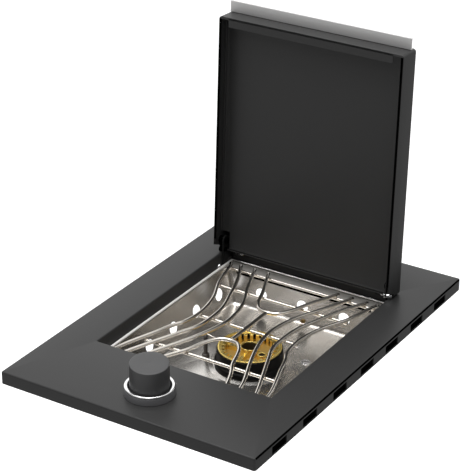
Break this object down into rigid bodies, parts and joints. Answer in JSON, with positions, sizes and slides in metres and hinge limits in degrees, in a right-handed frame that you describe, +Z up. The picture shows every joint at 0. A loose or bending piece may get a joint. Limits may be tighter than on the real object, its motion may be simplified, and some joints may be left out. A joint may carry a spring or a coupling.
{
  "type": "built in gas side burner",
  "caption": "Built in gas side burner: trim panel with hinged lid, stainless pan, brass burner under a bowed wire grate, and a push and turn knob.",
  "frame": {"origin": "centre of the trim panel in plan, in the plane of the skirts' lower edges and the rails' feet, which is the face of the worktop", "axes": "+Z up out of the worktop, +Y to the back, where the lid is hinged, +X to the right seen from the knob"},
  "size_m": [0.341, 0.487, 0.4322],
  "materials": {
    "black_paint": "satin powder coat",
    "bezel_paint": "metallic, semi gloss",
    "brushed_steel": "brushed",
    "steel_wire": "bright drawn",
    "zinc_steel": "zinc plated",
    "chrome": "polished",
    "cast_iron": "matt black enamel",
    "burner_brass": "cast and turned",
    "tap_brass": "turned",
    "knob_plastic": "satin",
    "lead_rubber": "matt",
    "ceramic": "glazed"
  },
  "bodies": {
    "frame": {"trim_panel": "black_paint", "side_rail_right": "black_paint", "side_rail_left": "black_paint", "slot_baffle": "black_paint", "hinge_bracket_right": "black_paint", "hinge_bracket_left": "black_paint", "bezel_body": "bezel_paint", "basin": "brushed_steel", "igniter_tip": "steel_wire", "return_spring": "steel_wire", "floor_brace": "zinc_steel", "floor_screw_right": "zinc_steel", "floor_screw_left": "zinc_steel", "flange_screw_right": "zinc_steel", "flange_screw_left": "zinc_steel", "foot_screw_right": "zinc_steel", "foot_screw_left": "zinc_steel", "stop_bolt_right": "zinc_steel", "stop_bolt_left": "zinc_steel", "mixing_tube": "zinc_steel", "air_shutter": "zinc_steel", "supply_tube": "zinc_steel", "inlet_pipe": "zinc_steel", "pipe_clip": "zinc_steel", "igniter_clip": "zinc_steel", "bezel_ring": "chrome", "burner_bowl": "cast_iron", "injector": "tap_brass", "outlet_nut": "tap_brass", "inlet_nut": "tap_brass", "tap_body": "tap_brass", "inlet_nipple": "tap_brass", "ignition_module": "knob_plastic", "ignition_lead": "lead_rubber", "igniter_post": "ceramic"},
    "tap_push": {"thrust_washer": "zinc_steel"},
    "knob": {"tap_stem": "tap_brass", "knob": "knob_plastic"},
    "lid": {"lid_shell": "black_paint", "lid_liner": "black_paint", "handle_strip": "brushed_steel", "pivot_stud_right": "zinc_steel", "pivot_stud_left": "zinc_steel"},
    "grate": {"outer_wire_right": "steel_wire", "outer_wire_left": "steel_wire", "middle_wire_right": "steel_wire", "middle_wire_left": "steel_wire", "inner_wire_right": "steel_wire", "inner_wire_left": "steel_wire", "rear_loop": "steel_wire", "front_loop": "steel_wire", "centre_rod": "steel_wire", "cross_wire_1": "steel_wire", "cross_wire_2": "steel_wire", "cross_wire_3": "steel_wire", "cross_wire_4": "steel_wire", "cross_wire_5": "steel_wire"},
    "burner_head": {"burner_head": "burner_brass"}
  },
  "joints": [
    {"name": "tap_press", "type": "slide", "parent": "frame", "child": "tap_push", "axis": [0, 0, -1], "range_m": [0, 0.0035], "stiffness_N_per_m": 2500, "springref_m": -0.0024, "deforming": ["return_spring"]},
    {"name": "knob_turn", "type": "hinge", "parent": "tap_push", "child": "knob", "pos_m": [0, -0.1911, 0.0305], "axis": [0, 0, 1], "range_deg": [0, 210]},
    {"name": "lid_hinge", "type": "hinge", "parent": "frame", "child": "lid", "pos_m": [0, 0.1505, 0.031], "axis": [1, 0, 0], "range_deg": [0, 92.8]},
    {"name": "grate_lift", "type": "slide", "parent": "frame", "child": "grate", "axis": [0, 0, 1], "range_m": [0, 0.012]},
    {"name": "burner_head_lift", "type": "slide", "parent": "frame", "child": "burner_head", "axis": [0, 0, 1], "range_m": [0, 0.018]}
  ]
}
